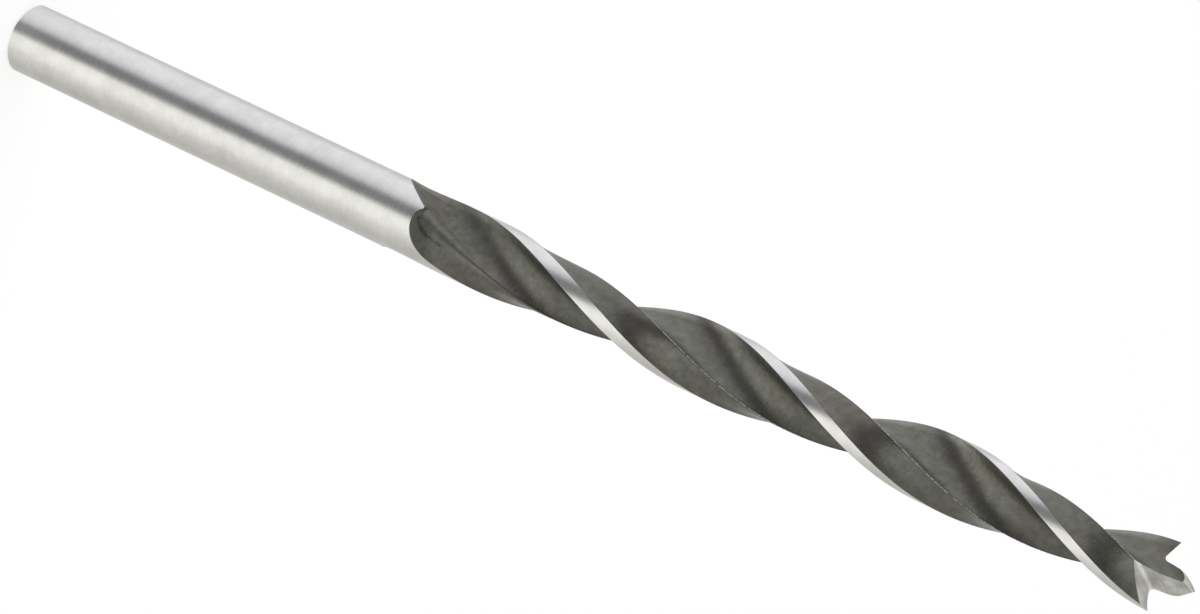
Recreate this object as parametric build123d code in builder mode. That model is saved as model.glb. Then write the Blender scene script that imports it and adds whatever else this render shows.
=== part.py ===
from build123d import *
import math
import os

# Brad point drill bit for wood: one bar of tool steel with a plain round shank,
# two twisted flutes and a ground tip with a centre point and two spurs.
# The shank end stands on the XY plane and the centre point is up, along +Z.

# Bar
diameter = 4.0
tip_diameter = 3.9
overall_length = 75.0
end_chamfer = 0.15

# Twist: the lead is the height of one full turn, and it shortens towards the tip
twist_start = 26.0
lead_at_start = 32.3
lead_at_tip = 26.9
tip_direction = 200.2

# Lands: a narrow margin at full diameter, then a flat back down to the heel
margin_at_start = 0.92
margin_at_tip = 0.54
back_distance = 1.51
back_start = 29.0
back_exit_radius = 2.9

# Flutes: round channels that leave a web in the middle of the bar
flute_radius_at_start = 1.95
flute_radius_at_tip = 2.3
web_at_start = 1.4
web_at_tip = 1.1
flute_start = 31.4
flute_exit_radius = 14.0

# Ground tip
point_angle = 82.0
flank_angle = 11.0
valley_depth = 2.5
valley_half_width = 0.6
valley_radius = 0.3
spur_depth = 1.88
relief_angle = 28.0
grind_turn = 24.0

radius = diameter / 2
section_step = 1.5
exit_step = 0.2
overrun = 3.0
clearance = 0.15
outside = 3 * radius
on_base = (Align.CENTER, Align.CENTER, Align.MIN)


def between(at_start, at_tip, height):
    """A size that changes evenly from the start of the twist to the tip."""
    return at_start + (at_tip - at_start) * (height - twist_start) / (overall_length - twist_start)


def leading_edge(height):
    """Direction of the first land's leading edge, in degrees."""
    rate_at_start = 360 / lead_at_start
    rate_at_tip = 360 / lead_at_tip
    rate_change = (rate_at_tip - rate_at_start) / (overall_length - twist_start)
    left = overall_length - height
    return tip_direction - rate_at_tip * left + rate_change * left ** 2 / 2


def moved_out(height, start, exit_radius):
    """How far a wheel that leaves the bar along a round path has moved out below its start."""
    drop = max(start - height, 0)
    return exit_radius - math.sqrt(exit_radius ** 2 - drop ** 2)


def exit_length(exit_radius, depth):
    """Height over which a wheel on a round path leaves a cut of this depth."""
    return math.sqrt(exit_radius ** 2 - (exit_radius - depth) ** 2)


def outwards(angle):
    return Vector(math.cos(math.radians(angle)), math.sin(math.radians(angle)), 0)


def steps(bottom, top, step):
    count = math.ceil((top - bottom) / step)
    return [bottom + (top - bottom) * i / count for i in range(count + 1)]


def flute_centre(height):
    """Centre of the flute's round section, placed so that it ends at the leading edge."""
    channel = between(flute_radius_at_start, flute_radius_at_tip, height)
    centre = channel + between(web_at_start, web_at_tip, height) / 2
    to_edge = math.acos((centre ** 2 + radius ** 2 - channel ** 2) / (2 * centre * radius))
    centre += moved_out(height, flute_start, flute_exit_radius)
    return outwards(leading_edge(height) + math.degrees(to_edge)) * centre + Vector(0, 0, height)


def back_plane(height):
    """Plane across the bar whose X axis points square out of the flat back."""
    margin = between(margin_at_start, margin_at_tip, height) / radius
    turned = leading_edge(height) - math.degrees(margin + math.acos(back_distance / radius))
    return Plane(origin=(0, 0, height), x_dir=outwards(turned), z_dir=(0, 0, 1))


top = overall_length + overrun
back_bottom = back_start - exit_length(back_exit_radius, radius - back_distance) - exit_step
flute_bottom = flute_start - exit_length(flute_exit_radius, radius - web_at_start / 2) - section_step

# Twisted bar: both flat backs are the sides of one turning rectangle, and the margins taper a little
taper = (diameter - tip_diameter) / 2 / (overall_length - back_bottom)
top_radius = radius - taper * (top - back_bottom)
with BuildPart() as twisted_bar:
    for height in steps(back_bottom, back_start, exit_step) + steps(back_start, top, section_step)[1:]:
        with BuildSketch(back_plane(height)):
            Rectangle(2 * (back_distance + moved_out(height, back_start, back_exit_radius)), outside)
    loft()
    with Locations((0, 0, back_bottom)):
        Cone(radius, top_radius, top - back_bottom, align=on_base, mode=Mode.INTERSECT)

# Flute wheel: a round section that travels along the twist without turning itself
flute_path = [flute_centre(height) for height in steps(flute_bottom, top, section_step)]
with BuildPart() as flute_tool:
    with BuildLine() as flute_line:
        Spline(*flute_path)
    for centre in (flute_path[0], flute_path[-1]):
        with BuildSketch(Plane.XY.move(Location(centre))):
            Circle(between(flute_radius_at_start, flute_radius_at_tip, centre.Z))
    sweep(path=flute_line.wires()[0], multisection=True, normal=(0, 0, 1))

# End wheel: point flank, valley and lip in one profile, drawn back and down behind the lip
grind_across = outwards(leading_edge(overall_length - valley_depth) - grind_turn)
grind_back = grind_across.rotate(Axis.Z, -90)
relief_slope = math.tan(math.radians(relief_angle))
relief = grind_back - Vector(0, 0, relief_slope)
flank_slope = math.tan(math.radians(flank_angle))
spur_across = radius * math.cos(math.radians(grind_turn))
spur_drop = spur_depth + radius * math.sin(math.radians(grind_turn)) * relief_slope
lip_slope = (valley_depth - spur_drop) / (spur_across - valley_half_width)
end_plane = Plane(origin=(0, 0, overall_length), x_dir=grind_across, z_dir=grind_back)
with BuildPart() as end_tool:
    with BuildSketch(end_plane) as end_profile:
        with BuildLine():
            Polyline(
                (valley_half_width, -valley_depth),
                (outside, lip_slope * (outside - valley_half_width) - valley_depth),
                (outside, overrun),
                (valley_half_width - flank_slope * (valley_depth + overrun), overrun),
                close=True,
            )
        make_face()
        fillet(end_profile.vertices().sort_by(Axis.Y)[0], valley_radius)
    extrude(amount=outside, dir=relief, both=True)

# Point wheel: what lies outside the cone of the centre point, down to just above the spurs
cone_depth = spur_depth - clearance
with BuildPart() as point_tool:
    with BuildSketch(Plane.XZ):
        with BuildLine():
            Polyline(
                (0, overall_length),
                (cone_depth * math.tan(math.radians(point_angle / 2)), overall_length - cone_depth),
                (outside, overall_length - cone_depth),
                (outside, top),
                (0, top),
                close=True,
            )
        make_face()
    revolve(axis=Axis.Z)

with BuildPart() as drill_bit:
    Cylinder(radius, back_bottom, align=on_base)
    chamfer(drill_bit.edges().sort_by(Axis.Z)[0], end_chamfer)
    add(twisted_bar.part)
    for turn in (0, 180):
        add(flute_tool.part.rotate(Axis.Z, turn), mode=Mode.SUBTRACT)
        add(end_tool.part.rotate(Axis.Z, turn), mode=Mode.SUBTRACT)
    add(point_tool.part, mode=Mode.SUBTRACT)

drill_bit.part.label = "drill_bit"
os.makedirs("parts", exist_ok=True)
export_step(drill_bit.part, "parts/drill_bit.step")
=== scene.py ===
import math

import bmesh
import bpy
import numpy as np
from mathutils import Matrix, Vector


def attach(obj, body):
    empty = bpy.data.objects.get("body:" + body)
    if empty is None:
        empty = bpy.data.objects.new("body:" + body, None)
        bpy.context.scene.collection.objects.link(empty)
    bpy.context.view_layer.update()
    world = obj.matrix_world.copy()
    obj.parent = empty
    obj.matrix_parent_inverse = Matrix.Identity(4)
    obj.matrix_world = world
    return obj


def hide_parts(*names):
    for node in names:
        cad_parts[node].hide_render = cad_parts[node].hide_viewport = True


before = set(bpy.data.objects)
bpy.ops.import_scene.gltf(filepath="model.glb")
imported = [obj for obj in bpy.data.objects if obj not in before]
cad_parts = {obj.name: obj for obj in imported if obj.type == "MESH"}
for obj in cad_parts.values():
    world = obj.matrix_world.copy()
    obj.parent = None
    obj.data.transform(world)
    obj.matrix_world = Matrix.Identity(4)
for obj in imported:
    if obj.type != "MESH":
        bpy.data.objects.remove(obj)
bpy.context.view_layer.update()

# the bit stands on its shank end, centre point up; lengths in millimetres, angles in degrees
mm = 0.001

bit = {
    "radius": 2.0, "tipRadius": 1.95, "length": 75.0, "endChamfer": 0.15,
    "twistStart": 26.0, "leadAtStart": 32.3, "leadAtTip": 26.9, "tipDirection": 200.2,
    "marginAtStart": 0.92, "marginAtTip": 0.54,
    "backDistance": 1.51, "backStart": 29.0, "backExitRadius": 2.9,
    "fluteRadiusAtStart": 1.95, "fluteRadiusAtTip": 2.3, "webAtStart": 1.4, "webAtTip": 1.1,
    "fluteStart": 31.4, "fluteExitRadius": 14.0,
    "heelRound": 0.07, "edgeRound": 0.025,      # how far the worn heel and the other edges are rounded
    "cornerShare": 0.35,                        # but at most this share of the surface on either side
    "heelBlend": 1.2, "blendTop": 34.5, "blendPower": 1.6,      # blended wider at the run-out
    "bowAtStart": 0.14,                         # the back bows out towards the heel, fading to the tip
    # how close the rings of the mesh stand, and how many points each surface has in a ring
    "shankRings": 40, "sectionStep": 0.2, "runOutStep": 0.08, "aboveTip": 0.5,
    "counts": {"margin": 22, "back": 18, "tongue": 12, "flute": 44, "corner": 3},
    "weld": 1e-5,                               # points closer than this become one
    "creaseAngle": 32.0,                        # shading breaks at edges that turn more than this
}
tip = {
    "flankAngle": 11.0, "valleyDepth": 2.5, "valleyHalfWidth": 0.6, "valleyRadius": 0.3,
    "spurDepth": 1.88, "reliefAngle": 28.0, "grindTurn": 24.0,
    "clearance": 0.15,                          # the cone ends this far above the spurs
    # the cone of the centre point from the top down: heights with their half angles, then the foot's
    "cone": ((0.58, 41), (0.08, 37), (0.08, 32), (0.08, 27), (0.08, 22), (0.1, 17)), "coneFoot": 13,
    "cutFrom": 71.0, "overrun": 3.0, "outside": 6.0,        # where the grind starts, the wheels' reach
    "valleySteps": 14, "coneSteps": 96,
    # edges between facets that turn more than the angle are rounded, by this much at most
    "facetRound": 0.13, "facetAngle": 12.0, "roundSteps": 4,
}

# material number of each surface: 0 ground, 1 rolled, 2 facets of the tip
surfaceOf = {"margin": 0, "tongue": 0, "back": 1, "flute": 1, "corner": 1, "heel": 1}
facetSurface = 2
tiny = 1e-6     # a cut or a run smaller than this isn't there


def between(atStart, atTip, z):
    return atStart + (atTip - atStart) * (z - bit["twistStart"]) / (bit["length"] - bit["twistStart"])


def leadingEdge(z):
    # direction of the first land's leading edge in radians; the twist tightens towards the tip
    rateStart, rateTip = math.tau / bit["leadAtStart"], math.tau / bit["leadAtTip"]
    change = (rateTip - rateStart) / (bit["length"] - bit["twistStart"])
    left = bit["length"] - z
    return math.radians(bit["tipDirection"]) - rateTip * left + change * left ** 2 / 2


def movedOut(z, start, exitRadius):
    # how far a wheel on a round path has left the bar below its start
    drop = max(start - z, 0)
    return exitRadius - math.sqrt(max(exitRadius ** 2 - drop ** 2, 0))


def exitLength(exitRadius, depth):
    return math.sqrt(exitRadius ** 2 - (exitRadius - depth) ** 2)


backBottom = bit["backStart"] - exitLength(bit["backExitRadius"], bit["radius"] - bit["backDistance"])
fluteDepth = bit["radius"] - bit["webAtStart"] / 2
fluteBottom = bit["fluteStart"] - exitLength(bit["fluteExitRadius"], fluteDepth)


def barRadius(z):
    share = max(0, z - backBottom) / (bit["length"] - backBottom)
    return bit["radius"] + (bit["tipRadius"] - bit["radius"]) * share


def polar(radius, angle):
    return np.array([radius * math.cos(angle), radius * math.sin(angle)])


def features(z):
    # radius of the bar; the flute's radius, distance, direction and half its angle in the round;
    # the back's direction, distance and half its angle
    z = max(z, fluteBottom)
    radius = barRadius(z)
    channel = between(bit["fluteRadiusAtStart"], bit["fluteRadiusAtTip"], z)
    centre = channel + between(bit["webAtStart"], bit["webAtTip"], z) / 2
    full = bit["radius"]
    toEdge = math.acos((centre ** 2 + full ** 2 - channel ** 2) / (2 * centre * full))
    fluteAngle = leadingEdge(z) + toEdge
    centre += movedOut(z, bit["fluteStart"], bit["fluteExitRadius"])
    halfFlute = math.acos(min(1, (centre ** 2 + radius ** 2 - channel ** 2) / (2 * centre * radius)))
    margin = between(bit["marginAtStart"], bit["marginAtTip"], z) / full
    backAngle = leadingEdge(z) - margin - math.acos(bit["backDistance"] / full)
    backGap = bit["backDistance"] + movedOut(z, bit["backStart"], bit["backExitRadius"])
    if z < backBottom:
        backGap = radius
    halfBack = math.acos(min(1, backGap / radius))
    return radius, channel, centre, fluteAngle, halfFlute, backAngle, backGap, halfBack


def arcRun(centrePoint, radius, fromAngle, toAngle):
    def at(t):
        return centrePoint + polar(radius, fromAngle + (toAngle - fromAngle) * t)
    return at, abs(toAngle - fromAngle) * radius


def bowedRun(fromPoint, toPoint, outwards, rise):
    # a line that bows out, by the full rise two thirds along, where 27 / 4 makes the curve's top 1
    def at(t):
        return fromPoint + (toPoint - fromPoint) * t + outwards * rise * 27 / 4 * t ** 2 * (1 - t)
    return at, float(np.linalg.norm(toPoint - fromPoint))


def noRun(place):
    # a surface that isn't there at this height
    return (lambda t: place), 0.0


def halfSection(z):
    # runs of the outline from one leading edge backwards to the other: margin, back, tongue, flute
    radius, channel, centre, fluteAngle, halfFlute, backAngle, backGap, halfBack = features(z)
    origin = np.zeros(2)
    lead = fluteAngle - halfFlute
    farEdge = fluteAngle - math.pi + halfFlute
    wheel = polar(centre, fluteAngle - math.pi)
    normal = polar(1, backAngle)
    backEnd = backAngle - halfBack
    if backEnd > farEdge:
        heel = polar(radius, farEdge)
        backStop = polar(radius, backEnd)
        tongue = arcRun(origin, radius, backEnd, farEdge)
    else:
        along = polar(1, backAngle + math.pi / 2)
        offset = backGap * normal - wheel
        reach = -offset @ along + math.sqrt((offset @ along) ** 2 - offset @ offset + channel ** 2)
        heel = backStop = backGap * normal + reach * along
        tongue = noRun(heel)
    marginRun = arcRun(origin, radius, lead, backAngle + halfBack)
    grown = min(1, max(0, (z - bit["backStart"]) / (bit["blendTop"] - bit["backStart"])))
    bow = between(bit["bowAtStart"], 0, z) * grown
    backRun = bowedRun(polar(radius, backAngle + halfBack), backStop, normal, bow)
    toHeel = heel - wheel
    fromAngle = math.remainder(math.atan2(toHeel[1], toHeel[0]) - fluteAngle, math.tau)
    nextLead = polar(radius, lead - math.pi) - wheel
    toAngle = math.remainder(math.atan2(nextLead[1], nextLead[0]) - fluteAngle, math.tau)
    fluteRun = arcRun(wheel, channel, fluteAngle + fromAngle, fluteAngle + toAngle)
    if halfFlute < tiny:
        fluteRun = noRun(heel)
    return {"margin": marginRun, "back": backRun, "tongue": tongue, "flute": fluteRun}


def outline(z):
    # points of the half section with every corner softened, and the surface that each point starts
    runs = halfSection(z)
    names = list(runs)
    counts = bit["counts"]
    merged = runs["tongue"][1] < 2 * bit["heelRound"]
    if merged:
        names.remove("tongue")
    left = min(1, max(0, (bit["blendTop"] - z) / (bit["blendTop"] - backBottom)))
    heelSize = bit["heelRound"] + (bit["heelBlend"] - bit["heelRound"]) * left ** bit["blendPower"]
    corners = {}
    for i, name in enumerate(names):
        after = names[(i + 1) % len(names)]
        size = heelSize if name == "back" and merged else bit["edgeRound"]
        corners[name] = min(size, bit["cornerShare"] * min(runs[name][1], runs[after][1]))

    def point(name, distance):
        at, length = runs[name]
        return at(distance / length if length > tiny else 0)

    points, parts = [], []
    for i, name in enumerate(names):
        length = runs[name][1]
        startAt, endAt = corners[names[i - 1]], length - corners[name]
        for k in range(counts[name]):
            points.append(point(name, startAt + (endAt - startAt) * k / (counts[name] - 1)))
            parts.append(name)
        after = names[(i + 1) % len(names)]
        turn = -1 if name == "flute" else 1     # the outline goes on in the other half
        start, corner, end = point(name, endAt), point(name, length), turn * point(after, corners[name])
        isHeel = name == "back" and merged
        count = counts["corner"] + (counts["tongue"] + counts["corner"] if isHeel else 0)
        parts[-1] = "heel" if isHeel else "corner"
        for k in range(1, count + 1):
            t = k / (count + 1)
            points.append((1 - t) ** 2 * start + 2 * t * (1 - t) * corner + t ** 2 * end)
            parts.append(parts[-1])
    return np.array(points), parts


def heights():
    # sparse on the plain shank, close together where the back and the flute run out
    chamfer, rings = bit["endChamfer"], bit["shankRings"]
    levels = [chamfer + (fluteBottom - chamfer) * k / rings for k in range(rings + 1)]
    for start, stop, step, curved in (
        (fluteBottom, backBottom, bit["runOutStep"], True),
        (backBottom, bit["backStart"], bit["runOutStep"] / 2, True),
        (bit["backStart"], bit["fluteStart"], bit["runOutStep"], False),
        (bit["fluteStart"], tip["cutFrom"], bit["sectionStep"], False),
        (tip["cutFrom"], bit["length"] + bit["aboveTip"], bit["runOutStep"], False),
    ):
        count = math.ceil((stop - start) / step)
        for k in range(1, count + 1):
            t = k / count
            levels.append(start + (stop - start) * (t ** 2 if curved else t))
    return levels


def newMesh(name, vertices, faces, surfaces):
    made = bpy.data.meshes.new(name)
    made.from_pydata((np.array(vertices) * mm).tolist(), [], faces)
    made.polygons.foreach_set("material_index", surfaces)
    return made


def newObject(name, data):
    made = bpy.data.objects.new(name, data)
    bpy.context.scene.collection.objects.link(made)
    return made


def barMesh():
    # one ring of points at each height, from the foot of the end chamfer to above the tip
    rings, kinds = [], []
    for z in heights():
        half, parts = outline(z)
        ring = np.vstack([half, -half])
        rings.append(np.column_stack([ring, np.full(len(ring), z)]))
        kinds.append(parts + parts)
    around = len(rings[0])
    foot = rings[0].copy()
    foot[:, :2] *= (bit["radius"] - bit["endChamfer"]) / bit["radius"]
    foot[:, 2] = 0
    rings.insert(0, foot)
    faces, surfaces = [], []
    for level, parts in enumerate(kinds):
        low, high = level * around, (level + 1) * around
        for k in range(around):
            after = (k + 1) % around
            faces.append((low + k, high + k, high + after, low + after))
            surfaces.append(surfaceOf[parts[k]])
    last = (len(rings) - 1) * around
    faces += [tuple(range(around)), tuple(range(last + around - 1, last - 1, -1))]
    return newMesh("drillBit", np.vstack(rings), faces, surfaces + [surfaceOf["margin"], facetSurface])


def grindProfile():
    # flank, valley with its small radius and lip, as distances across the grind and above the tip
    slope = math.tan(math.radians(tip["flankAngle"]))
    relief = math.tan(math.radians(tip["reliefAngle"]))
    turn = math.radians(tip["grindTurn"])
    spurAcross = bit["radius"] * math.cos(turn)
    spurDrop = tip["spurDepth"] + bit["radius"] * math.sin(turn) * relief
    half, depth, out, high = tip["valleyHalfWidth"], tip["valleyDepth"], tip["outside"], tip["overrun"]
    lip = (depth - spurDrop) / (spurAcross - half)
    valley = Vector((half, -depth))
    toFlank = Vector((-slope, 1)).normalized()
    toLip = Vector((1, lip)).normalized()
    opening = toFlank.angle(toLip)
    reach = tip["valleyRadius"] / math.tan(opening / 2)
    middle = valley + (toFlank + toLip).normalized() * tip["valleyRadius"] / math.sin(opening / 2)
    first, last = valley + toFlank * reach - middle, valley + toLip * reach - middle
    steps = tip["valleySteps"]
    turned = first.angle_signed(last)
    corners = [Vector((half - slope * (depth + high), high))]
    corners += [middle + Matrix.Rotation(-turned * k / steps, 2) @ first for k in range(steps + 1)]
    return corners + [Vector((out, lip * (out - half) - depth)), Vector((out, high))]


def grindAxes(turned):
    # the direction across the grind, and the direction in which the wheel ran
    angle = leadingEdge(bit["length"] - tip["valleyDepth"]) - math.radians(tip["grindTurn"]) + turned
    across = Vector((math.cos(angle), math.sin(angle), 0))
    ran = Vector((across.y, -across.x, -math.tan(math.radians(tip["reliefAngle"]))))
    return across, ran.normalized()


def grindWheel(turned):
    # the profile drawn both ways along the direction in which the wheel ran
    across, ran = grindAxes(turned)
    up = Vector((0, 0, 1))
    placed = [across * c.x + up * (bit["length"] + c.y) for c in grindProfile()]
    n = len(placed)
    vertices = [c - ran * tip["outside"] for c in placed] + [c + ran * tip["outside"] for c in placed]
    faces = [tuple(range(n)), tuple(range(2 * n - 1, n - 1, -1))]
    faces += [(k, k + n, (k + 1) % n + n, (k + 1) % n) for k in range(n)]
    return newObject("grindWheel", newMesh("grindWheel", vertices, faces, [facetSurface] * len(faces)))


def pointWheel():
    # ring outside the cone of the centre point, down to just above the spurs
    foot = tip["spurDepth"] - tip["clearance"]
    profile = []
    depth = out = 0
    footStep = foot - sum(step for step, halfAngle in tip["cone"])
    for step, halfAngle in (*tip["cone"], (footStep, tip["coneFoot"])):
        depth += step
        out += step * math.tan(math.radians(halfAngle))
        profile.append((out, -depth))
    profile += [(tip["outside"], -foot), (tip["outside"], tip["overrun"])]
    around, rows = tip["coneSteps"], len(profile)
    vertices, faces = [(0, 0, bit["length"]), (0, 0, bit["length"] + tip["overrun"])], []
    for k in range(around):
        angle = math.tau * k / around
        vertices += [(r * math.cos(angle), r * math.sin(angle), z + bit["length"]) for r, z in profile]
    for k in range(around):
        a, b = 2 + rows * k, 2 + rows * ((k + 1) % around)
        faces += [(0, b, a), (a + rows - 1, b + rows - 1, 1)]
        faces += [(a + j, b + j, b + j + 1, a + j + 1) for j in range(rows - 1)]
    return newObject("pointWheel", newMesh("pointWheel", vertices, faces, [facetSurface] * len(faces)))


def facingOut(mesh):
    shape = bmesh.new()
    shape.from_mesh(mesh)
    bmesh.ops.remove_doubles(shape, verts=shape.verts, dist=bit["weld"] * mm)
    bmesh.ops.recalc_face_normals(shape, faces=shape.faces)
    if shape.calc_volume(signed=True) < 0:
        bmesh.ops.reverse_faces(shape, faces=shape.faces)
    shape.to_mesh(mesh)
    shape.free()


drillBit = newObject("drillBit", barMesh())
facingOut(drillBit.data)
print("bar:", len(drillBit.data.polygons), "faces")

wheels = [grindWheel(0), grindWheel(math.pi), pointWheel()]
for wheel in wheels:
    facingOut(wheel.data)
    cut = drillBit.modifiers.new("tipGrind", "BOOLEAN")
    cut.operation = "DIFFERENCE"
    cut.solver = "MANIFOLD"
    cut.object = wheel
ground = bpy.data.meshes.new_from_object(drillBit.evaluated_get(bpy.context.evaluated_depsgraph_get()))
drillBit.modifiers.clear()
drillBit.data = ground
for wheel in wheels:
    bpy.data.objects.remove(wheel)


def roundFacets(mesh):
    shape = bmesh.new()
    shape.from_mesh(mesh)
    edges = []
    for edge in shape.edges:
        if len(edge.link_faces) == 2 and all(f.material_index == facetSurface for f in edge.link_faces):
            if edge.calc_face_angle() > math.radians(tip["facetAngle"]):
                edges.append(edge)
    bmesh.ops.bevel(
        shape, geom=edges, offset=tip["facetRound"] * mm, segments=tip["roundSteps"], profile=0.5,
        affect="EDGES", material=facetSurface, clamp_overlap=True)
    shape.to_mesh(mesh)
    shape.free()


roundFacets(ground)
print("ground tip:", len(ground.polygons), "faces")

# the camera of the photograph: where it stands, and which ways are right and up in its picture
shot = {
    "lens": 150, "sensor": 36, "place": (0.089, 245.905, 142.978),
    "right": (0.42884, -0.35254, 0.83175), "up": (0.90338, 0.16735, -0.39484),
}
camera = bpy.data.cameras.new("camera")
camera.lens = shot["lens"]
camera.sensor_width = shot["sensor"]
view = newObject("camera", camera)
right, up = Vector(shot["right"]), Vector(shot["up"])
turnedTo = Matrix((right, up, right.cross(up))).transposed().to_4x4()
view.matrix_world = Matrix.Translation(Vector(shot["place"]) * mm) @ turnedTo
bpy.context.scene.camera = view
bpy.context.scene.view_settings.view_transform = "Standard"

# a ragged dark scratch on one back, just above its round end
scratch = (
    (0.215, 1.841, 27.66), (-0.054, 1.756, 27.83), (-0.301, 1.644, 28.06),
    (-0.442, 1.534, 28.35), (-0.548, 1.424, 28.83), (-0.615, 1.383, 29.32),
)


def distanceFrom(points, line):
    nearest = np.full(len(points), np.inf)
    for start, end in zip(line, line[1:]):
        start, end = np.array(start), np.array(end)
        along = end - start
        share = np.clip((points - start) @ along / (along @ along), 0, 1)
        nearest = np.minimum(nearest, np.linalg.norm(points - start - share[:, None] * along, axis=1))
    return nearest


def readAll(items, name, width, kind):
    values = np.empty(len(items) * width, dtype=kind)
    items.foreach_get(name, values)
    return values


def addGaps(mesh, points, levels):
    # distance of every point from the nearest leading edge, heel and spur, and from the scratch
    x, y, z = points.T
    sections = [halfSection(level) for level in levels]
    gaps = {"scratchGap": distanceFrom(points, scratch)}
    for name, run in (("leadGap", "margin"), ("heelGap", "flute")):     # each edge starts a run
        starts = np.array([section[run][0](0) for section in sections])
        r = np.interp(z, levels, np.hypot(starts[:, 0], starts[:, 1]))
        angle = np.interp(z, levels, np.unwrap(np.arctan2(starts[:, 1], starts[:, 0])))
        ex, ey = r * np.cos(angle), r * np.sin(angle)
        gaps[name] = np.minimum(np.hypot(x - ex, y - ey), np.hypot(x + ex, y + ey))
    spurZ = bit["length"] - tip["spurDepth"]
    spur = np.array([*polar(bit["tipRadius"], leadingEdge(spurZ)), spurZ])
    toSpurs = [np.linalg.norm(points - spur * side, axis=1) for side in ((1, 1, 1), (-1, -1, 1))]
    gaps["spurGap"] = np.minimum(*toSpurs)
    for name, gap in gaps.items():
        mesh.attributes.new(name, "FLOAT", "POINT").data.foreach_set("value", gap)


def addWrap(mesh, points, levels):
    # a map that follows the twist: distance around the bar from the leading edge, and height
    x, y, z = points.T
    twist = np.interp(z, levels, [leadingEdge(max(level, fluteBottom)) for level in levels])
    around = np.arctan2(y, x) - twist
    corners = readAll(mesh.loops, "vertex_index", 1, int)
    starts = corners[readAll(mesh.polygons, "loop_start", 1, int)]      # first corner of each face
    totals = readAll(mesh.polygons, "loop_total", 1, int)
    firsts = np.repeat(around[starts], totals)
    own = around[corners]
    own = own - math.tau * np.round((own - firsts) / math.tau)      # no face spans the seam
    wrap = np.column_stack([(own - firsts + np.mod(firsts, math.tau)) * bit["radius"], z[corners]])
    # on the ground facets it follows the way the grinding wheel ran
    across, ran = (np.array(axis) for axis in grindAxes(0))
    here = points[corners]
    side = np.where(points[starts] @ across < 0, -1, 1)
    here[:, :2] *= np.repeat(side, totals)[:, None]
    onFacet = np.repeat(readAll(mesh.polygons, "material_index", 1, int) == facetSurface, totals)
    square = np.cross(across, ran)
    wrap[onFacet] = np.column_stack([here @ ran, here @ (square - across)])[onFacet]
    mesh.uv_layers.new(name="wrap").data.foreach_set("uv", wrap.astype(np.float32).ravel())


groundPoints = readAll(ground.vertices, "co", 3, float).reshape(-1, 3) / mm
for addTo in (addGaps, addWrap):
    addTo(ground, groundPoints, heights())
ground.polygons.foreach_set("use_smooth", [True] * len(ground.polygons))
ground.set_sharp_from_angle(angle=math.radians(bit["creaseAngle"]))


def toLinear(hexColour):
    channels = [int(hexColour[k:k + 2], 16) / 255 for k in (1, 3, 5)]
    return tuple(c / 12.92 if c <= 0.04045 else ((c + 0.055) / 1.055) ** 2.4 for c in channels) + (1,)


def addNode(tree, kind, links=(), **settings):
    # adds one node; links are values, sockets or nodes for its inputs, in order or by name or number.
    # A colour mix has its share at input 0 and its colours at 6 and 7, a mix of numbers at 0, 2 and 3
    node = tree.nodes.new("ShaderNode" + kind)
    for name, value in settings.items():
        setattr(node, name, value)
    for name, value in links.items() if isinstance(links, dict) else enumerate(links):
        if isinstance(value, bpy.types.Node):
            value = next(socket for socket in value.outputs if socket.enabled)
        if isinstance(value, bpy.types.NodeSocket):
            tree.links.new(value, node.inputs[name])
        else:
            node.inputs[name].default_value = value
    return node


def newMaterial(name):
    made = bpy.data.materials.new(name)
    made.use_nodes = True
    made.node_tree.nodes.clear()
    return made, made.node_tree


noiseSpan = (0.3, 0.7)      # most of a noise texture lies between these values

# centreless ground high-speed steel: bright satin, with fine rings around the shank and faint clouds.
# In each look, contrast is the range of patches and marks that goes from dark to light
groundLook = {
    "light": "#f6f5f3", "dark": "#dddcd9", "roughness": (0.18, 0.27),
    "ring": (1.1, 0.12), "grit": 0.1,       # the real marks are finer, drawn this coarse to show
    "patch": 1.2, "ringShare": 0.5, "contrast": (0.45, 1.05),
    "gritHeight": 0.8, "bump": 0.16, "bumpDepth": 0.02,
}


def groundSteel(look):
    made, tree = newMaterial("groundHighSpeedSteel")
    place = addNode(tree, "TexCoord").outputs["Object"]
    wrap = addNode(tree, "UVMap", uv_map="wrap")
    drawn = addNode(tree, "Mapping", {
        "Vector": wrap, "Scale": (*look["ring"], 1)}, vector_type="TEXTURE")
    rings = addNode(tree, "TexNoise", {
        "Vector": drawn, "Scale": 1.0, "Detail": 3.0, "Roughness": 0.6})
    patches = addNode(tree, "TexNoise", {
        "Vector": place, "Scale": 1 / (look["patch"] * mm), "Detail": 6.0, "Roughness": 0.65})
    share = addNode(tree, "Math", (rings, look["ringShare"], patches), operation="MULTIPLY_ADD")
    spread = addNode(tree, "MapRange", (share, *look["contrast"]))
    tint = addNode(tree, "Mix", {
        0: spread, 6: toLinear(look["dark"]), 7: toLinear(look["light"])}, data_type="RGBA")
    roughness = addNode(tree, "MapRange", (rings, *noiseSpan, *look["roughness"]))
    grit = addNode(tree, "TexNoise", {"Vector": place, "Scale": 1 / (look["grit"] * mm), "Detail": 2.0})
    relief = addNode(tree, "Math", (grit, look["gritHeight"], rings), operation="MULTIPLY_ADD")
    bump = addNode(tree, "Bump", {
        "Height": relief, "Strength": look["bump"], "Distance": look["bumpDepth"] * mm})
    shader = addNode(tree, "BsdfPrincipled", {
        "Base Color": tint, "Metallic": 1.0, "Roughness": roughness, "Normal": bump})
    addNode(tree, "OutputMaterial", {"Surface": shader})
    return made


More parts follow.
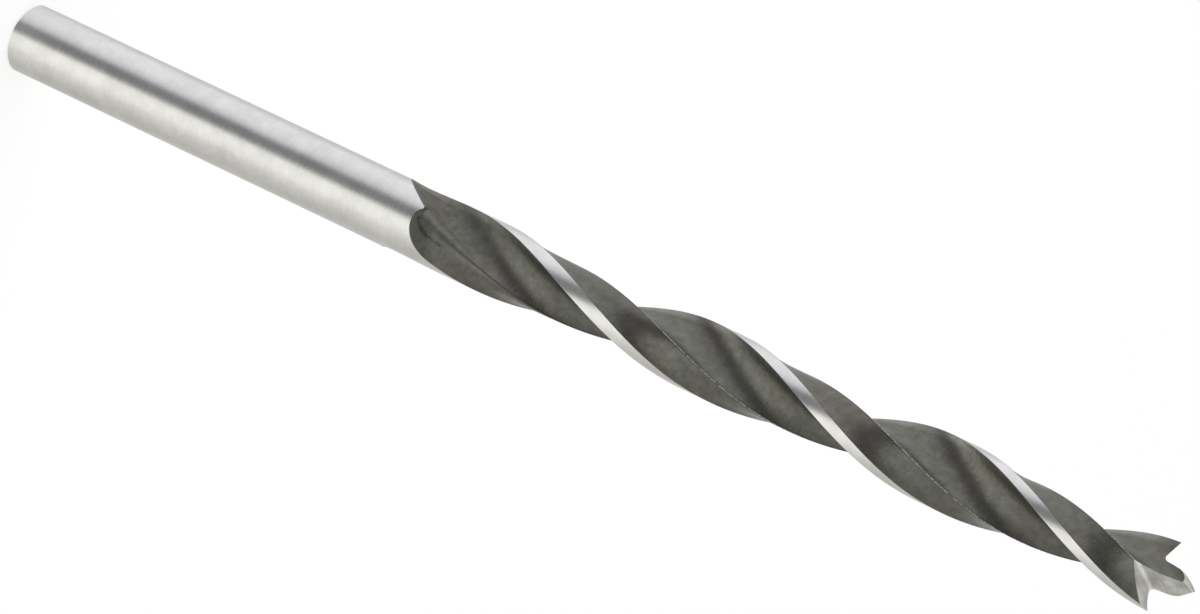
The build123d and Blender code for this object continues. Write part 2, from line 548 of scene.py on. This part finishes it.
# roll forged flutes with the dark skin of hardening left on: matt warm grey, mottled, with fine strokes
rolledLook = {
    "light": "#868580", "dark": "#64635d", "brown": "#fffaf5", "green": "#f7fdf7",
    "metal": 0.8, "roughness": (0.33, 0.25),
    "runOut": 0.22, "foot": (34.0, 28.5),       # rougher by this much, growing down the run-out
    # size, detail and roughness of each pattern
    "patterns": {"mottle": (0.55, 5.0, 0.62), "grain": (0.14, 3.0, 0.55), "temper": (3.5, 2.0, 0.5)},
    "stroke": (0.9, 0.11), "strokeTurn": -20.0,     # real marks are finer, drawn this coarse to show
    "strokeShare": 0.45, "contrast": (0.42, 1.03), "drift": (0.4, 0.6),
    "strokeHeight": 0.8, "bump": 0.8, "bumpDepth": 0.012,
}
# wear, stains, painted highlights, painted light and painted shade, each at a distance from a feature.
# A pair goes from where the mark is gone to where it is full: its outer edge, its clear inner edge, and
# the heights, if it isn't the same all along. Broken holds two values of the pattern that breaks the
# mark up, and its strength at each
wearAndPaintedLight = {
    "heatStain": {"from": "spurGap", "edge": (1.3, 0.3), "ragged": 0.3,
                  "pattern": "mottle", "broken": (0.3, 0.6, 0.2, 0.45), "colour": "#a48f80"},
    # painted shade: a dark band beside the heel where the back runs out, standing in for the shaded
    # side of that edge
    "heelPaintedShade": {"from": "heelGap", "edge": (0.14, 0.06), "clear": (0.0, 0.04), "ragged": 0.0,
                 "heights": (31.5, 36.0),
                 "pattern": "mottle", "broken": (0.38, 0.56, 0.1, 0.7), "colour": "#3b3a35"},
    # painted highlight: a thin light line along the heel, where the edge catches the light
    "heelPaintedHighlight": {"from": "heelGap", "edge": (0.06, 0.02), "ragged": 0.0,
                  "heights": (38.0, 46.0),
                  "pattern": "grain", "broken": (0.42, 0.58, 0.2, 1.0), "colour": "#e2e1dc"},
    # painted light: the flute lighter near each leading edge, standing in for light bounced back into
    # it there
    "leadPaintedLight": {"from": "leadGap", "edge": (0.45, 0.15), "ragged": 0.2,
                "pattern": "mottle", "broken": (0.3, 0.6, 0.4, 0.65), "colour": "#b1b0ab"},
    # painted reflection: a lighter band beside the heel, growing towards the foot of the run-out
    "footPaintedLight": {"from": "heelGap", "edge": (0.6, 0.1), "ragged": 0.0,
                "heights": (34.0, 29.5),
                "pattern": "mottle", "broken": (0.3, 0.6, 0.1, 0.2), "colour": "#b9b8b3"},
    "scratch": {"from": "scratchGap", "edge": (0.14, -0.03), "ragged": 0.6,
                "pattern": "grain", "broken": (0.3, 0.5, 0.7, 0.85), "colour": "#35342f"},
}


def rolledSteel(look):
    made, tree = newMaterial("rolledBlackenedSteel")
    place = addNode(tree, "TexCoord").outputs["Object"]
    wrap = addNode(tree, "UVMap", uv_map="wrap")
    patterns = {}
    for name, (size, detail, rough) in look["patterns"].items():
        patterns[name] = addNode(tree, "TexNoise", {
            "Vector": place, "Scale": 1 / (size * mm), "Detail": detail, "Roughness": rough})
    turn = (0, 0, math.radians(look["strokeTurn"]))
    drawn = addNode(tree, "Mapping", {
        "Vector": wrap, "Rotation": turn, "Scale": (*look["stroke"], 1)}, vector_type="TEXTURE")
    strokes = addNode(tree, "TexNoise", {
        "Vector": drawn, "Scale": 1.0, "Detail": 3.0, "Roughness": 0.55})

    # skin: light and dark mottle with the strokes in it, and a faint drift from brown to green
    mottle, grain = patterns["mottle"], patterns["grain"]
    shade = addNode(tree, "Math", (strokes, look["strokeShare"], mottle), operation="MULTIPLY_ADD")
    spread = addNode(tree, "MapRange", (shade, *look["contrast"]))
    skin = addNode(tree, "Mix", {
        0: spread, 6: toLinear(look["dark"]), 7: toLinear(look["light"])}, data_type="RGBA")
    drift = addNode(tree, "MapRange", (patterns["temper"], *look["drift"]))
    hue = addNode(tree, "Mix", {
        0: drift, 6: toLinear(look["brown"]), 7: toLinear(look["green"])}, data_type="RGBA")
    colour = addNode(tree, "Mix", {0: 1.0, 6: skin, 7: hue}, data_type="RGBA", blend_type="MULTIPLY")

    height = addNode(tree, "SeparateXYZ", (place,)).outputs["Z"]
    uneven = addNode(tree, "Math", (mottle, grain), operation="ADD")
    centred = addNode(tree, "MapRange", (uneven, 0.0, 2.0, -0.5, 0.5), clamp=False)
    # stains and wear, and painted highlight, painted light and painted shade, laid over the skin
    for mark in wearAndPaintedLight.values():
        gap = addNode(tree, "Attribute", attribute_name=mark["from"]).outputs["Fac"]
        distance = addNode(tree, "Math", (centred, mark["ragged"], gap), operation="MULTIPLY_ADD")
        share = addNode(tree, "MapRange", (patterns[mark["pattern"]], *mark["broken"]))
        for pair, value, unit in (
                ("edge", distance, 1), ("clear", distance, 1), ("heights", height, mm)):
            if pair in mark:
                gone, full = mark[pair]
                fade = addNode(tree, "MapRange", (value, gone * unit, full * unit))
                share = addNode(tree, "Math", (share, fade), operation="MULTIPLY")
        stainAndPaintedLight = toLinear(mark["colour"])
        colour = addNode(tree, "Mix", {0: share, 6: colour, 7: stainAndPaintedLight}, data_type="RGBA")

    sheen = addNode(tree, "MapRange", (mottle, *noiseSpan, *look["roughness"]))
    top, bottom = look["foot"]
    foot = addNode(tree, "MapRange", (height, top * mm, bottom * mm))
    roughness = addNode(tree, "Math", (foot, look["runOut"], sheen), operation="MULTIPLY_ADD")
    relief = addNode(tree, "Math", (strokes, look["strokeHeight"], grain), operation="MULTIPLY_ADD")
    bump = addNode(tree, "Bump", {
        "Height": relief, "Strength": look["bump"], "Distance": look["bumpDepth"] * mm})
    shader = addNode(tree, "BsdfPrincipled", {
        "Base Color": colour, "Metallic": look["metal"], "Roughness": roughness, "Normal": bump})
    addNode(tree, "OutputMaterial", {"Surface": shader})
    return made


# tip ground with a coarser wheel: light satin grey, cloudy, with lines along the way the wheel ran
facetLook = {
    "light": "#efeeea", "dark": "#b9b8b1", "metal": 0.85, "roughness": (0.38, 0.5),
    "line": (2.5, 0.09),        # the real lines are finer, drawn this coarse to show
    "patch": 0.6, "lineShare": 0.5, "contrast": (0.45, 0.95),
    "bump": 0.35, "bumpDepth": 0.01,
}


def facetSteel(look):
    made, tree = newMaterial("wheelGroundSteel")
    place = addNode(tree, "TexCoord").outputs["Object"]
    wrap = addNode(tree, "UVMap", uv_map="wrap")
    drawn = addNode(tree, "Mapping", {
        "Vector": wrap, "Scale": (*look["line"], 1)}, vector_type="TEXTURE")
    lines = addNode(tree, "TexNoise", {
        "Vector": drawn, "Scale": 1.0, "Detail": 3.0, "Roughness": 0.6})
    patches = addNode(tree, "TexNoise", {
        "Vector": place, "Scale": 1 / (look["patch"] * mm), "Detail": 3.0, "Roughness": 0.5})
    share = addNode(tree, "Math", (lines, look["lineShare"], patches), operation="MULTIPLY_ADD")
    spread = addNode(tree, "MapRange", (share, *look["contrast"]))
    tint = addNode(tree, "Mix", {
        0: spread, 6: toLinear(look["dark"]), 7: toLinear(look["light"])}, data_type="RGBA")
    roughness = addNode(tree, "MapRange", (lines, *noiseSpan, *look["roughness"]))
    bump = addNode(tree, "Bump", {
        "Height": lines, "Strength": look["bump"], "Distance": look["bumpDepth"] * mm})
    shader = addNode(tree, "BsdfPrincipled", {
        "Base Color": tint, "Metallic": look["metal"], "Roughness": roughness, "Normal": bump})
    addNode(tree, "OutputMaterial", {"Surface": shader})
    return made


surfaces = readAll(ground.polygons, "material_index", 1, np.int32)      # clear() resets them
ground.materials.clear()
for made in (groundSteel(groundLook), rolledSteel(rolledLook), facetSteel(facetLook)):
    ground.materials.append(made)
ground.polygons.foreach_set("material_index", surfaces)
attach(drillBit, "root")
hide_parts("drill_bit")
print("materials:", len(ground.materials), "on the bit")

# the studio: white all round with a darker gap between the boxes, seen by the metal only
studio = {
    "floorSize": 1200.0, "paper": 0.5, "floorLift": 0.66,
    "underBit": (2.0, 8.0), "filled": 0.2, "fill": 0.6,     # distances from the axis, share, brightness
    # brightness by direction around the bit: a dark gap beside the camera, a dimmer side below
    "around": (
        (0, 0.93), (24, 0.88), (41, 0.72), (50, 0.5), (60, 0.24), (79, 0.23), (88, 0.42), (98, 0.98),
        (118, 1.03), (135, 0.97), (152, 0.78), (175, 0.64), (205, 0.54), (225, 0.58), (243, 0.62),
        (262, 0.8), (285, 0.72), (300, 0.66), (317, 0.7), (335, 0.91)),
    # tint by direction: cooler above the gap, warmer on the other side
    "tint": (
        (0, "#fdfdff"), (40, "#fbfbff"), (58, "#f3f4ff"), (72, "#fbfbfb"), (95, "#fffffc"),
        (230, "#fffefa"), (290, "#fdfdff")),
    # share of that brightness by height: walls darken upwards, then a white ceiling takes over
    "walls": ((-90, 1.0), (-12, 1.0), (8, 0.95), (22, 0.6), (38, 0.55), (55, 0.95), (90, 1.0)),
    "ceiling": (30, 55),
    # a darker patch above the table on the camera's side; each pair goes from where it is gone to full
    "cameraSide": {"azimuth": ((68, 88), (172, 152)), "height": ((-9, 1), (42, 32)), "taken": 0.55},
    # softboxes: place, width and brightness, where 1 is the brightness of white paper
    "boxes": {"keyBox": ((320, 120, 260), 220, 0.6), "fillBox": ((-280, 200, 200), 200, 0.3)},
}


def studioGlow(tree, angle, name):
    # brightness or tint of the studio at this angle, between the levels in its dictionary
    levels = studio[name]
    if name != "walls":
        levels += ((360, levels[0][1]),)        # all the way round, back to the first
    low, high = levels[0][0], levels[-1][0]
    share = addNode(tree, "MapRange", (angle, math.radians(low), math.radians(high)))
    glow = addNode(tree, "ValToRGB", (share,))
    stops = glow.color_ramp.elements
    for degrees, level in levels[1:-1]:
        stops.new((degrees - low) / (high - low))
    for stop, (degrees, level) in zip(stops, levels):
        stop.color = toLinear(level) if name == "tint" else (level, level, level, 1)
    return glow


def azimuth(tree, parted, bend=0.0):
    # direction around the bit, from 0 to a full turn
    angle = addNode(tree, "Math", (parted.outputs["Y"], parted.outputs["X"]), operation="ARCTAN2")
    bent = addNode(tree, "Math", (angle, bend), operation="SUBTRACT")
    return addNode(tree, "Math", (bent, math.tau, 0.0), operation="WRAP")


def makeWorld():
    world = bpy.data.worlds.new("studio")
    bpy.context.scene.world = world
    world.use_nodes = True
    tree = world.node_tree
    tree.nodes.clear()
    parted = addNode(tree, "SeparateXYZ", (addNode(tree, "TexCoord").outputs["Generated"],))
    height = addNode(tree, "Math", (parted.outputs["Z"],), operation="ARCSINE")
    walls = studioGlow(tree, height, "walls")
    start, end = (math.radians(degrees) for degrees in studio["ceiling"])
    ceiling = addNode(tree, "MapRange", (height, start, end), interpolation_type="SMOOTHSTEP")
    turned = azimuth(tree, parted)
    side = addNode(tree, "Mix", {0: ceiling, 2: studioGlow(tree, turned, "around"), 3: 1.0})
    level = addNode(tree, "Math", (side, walls), operation="MULTIPLY")
    patch = studio["cameraSide"]
    dark = patch["taken"]
    for value, name in ((turned, "azimuth"), (height, "height")):
        for gone, full in patch[name]:
            edge = addNode(tree, "MapRange", (
                value, math.radians(gone), math.radians(full)), interpolation_type="SMOOTHSTEP")
            dark = addNode(tree, "Math", (dark, edge), operation="MULTIPLY")
    left = addNode(tree, "Math", (1.0, dark), operation="SUBTRACT")
    level = addNode(tree, "Math", (level, left), operation="MULTIPLY")
    # the camera itself sees plain white
    toCamera = addNode(tree, "LightPath").outputs["Is Camera Ray"]
    seen = addNode(tree, "Mix", {0: toCamera, 2: level, 3: 1.0})
    tint = addNode(tree, "Mix", {
        0: toCamera, 6: studioGlow(tree, turned, "tint"), 7: (1, 1, 1, 1)}, data_type="RGBA")
    white = addNode(tree, "Background", {"Color": tint, "Strength": seen})
    addNode(tree, "OutputWorld", {"Surface": white})


def makeFloor():
    half = studio["floorSize"] / 2
    corners = [(-half, -half, 0), (half, -half, 0), (half, half, 0), (-half, half, 0)]
    floor = newObject("floor", newMesh("floor", corners, [(0, 1, 2, 3)], [0]))
    # matt white paper: plain with a faint shadow to the camera, the glow of the studio to the metal
    made, tree = newMaterial("whitePaper")
    place = addNode(tree, "NewGeometry").outputs["Position"]
    parted = addNode(tree, "SeparateXYZ", (place,))
    # close to the bit the dark gap bends aside: the glow is seen from the bit's skin, not its axis
    reach = addNode(tree, "VectorMath", (place,), operation="LENGTH")
    inner = bit["radius"] / 2 * mm
    beyond = addNode(tree, "Math", (reach, inner), operation="SUBTRACT")
    lean = addNode(tree, "Math", (inner, beyond), operation="DIVIDE")
    cosine = addNode(tree, "Math", (parted.outputs["X"], reach), operation="DIVIDE")
    bend = addNode(tree, "Math", (lean, cosine), operation="MULTIPLY")
    turned = azimuth(tree, parted, bend)
    tint = studioGlow(tree, turned, "tint")
    # right under the bit light from the paper fills the gap
    start, end = (distance * mm for distance in studio["underBit"])
    clear = addNode(tree, "MapRange", (
        reach, start, end, 1 - studio["filled"], 1.0), interpolation_type="SMOOTHSTEP")
    level = addNode(tree, "Mix", {0: clear, 2: studio["fill"], 3: studioGlow(tree, turned, "around")})
    path = addNode(tree, "LightPath").outputs
    metalSees = addNode(tree, "Math", (
        path["Is Glossy Ray"], path["Is Transmission Ray"]), operation="MAXIMUM")
    paper = addNode(tree, "BsdfDiffuse", {"Color": (*[studio["paper"]] * 3, 1)})
    seen = addNode(tree, "Math", (path["Is Camera Ray"], studio["floorLift"]), operation="MULTIPLY")
    lift = addNode(tree, "Emission", {"Color": (1, 1, 1, 1), "Strength": seen})
    lit = addNode(tree, "AddShader", (paper, lift))
    glow = addNode(tree, "Emission", {"Color": tint, "Strength": level})
    both = addNode(tree, "MixShader", (metalSees, lit, glow))
    addNode(tree, "OutputMaterial", {"Surface": both})
    floor.data.materials.append(made)


def addSoftbox(name, place, width, level):
    # a softbox that faces the middle of the bit
    lamp = bpy.data.lights.new(name, "AREA")
    lamp.size = width * mm
    lamp.energy = level * math.pi * lamp.size ** 2
    box = newObject(name, lamp)
    middle = Vector((0, 0, bit["length"] / 2)) * mm
    box.location = Vector(place) * mm
    box.rotation_euler = (box.location - middle).to_track_quat("Z", "Y").to_euler()


makeWorld()
makeFloor()
for name, (place, width, level) in studio["boxes"].items():
    addSoftbox(name, place, width, level)
print("studio ready")
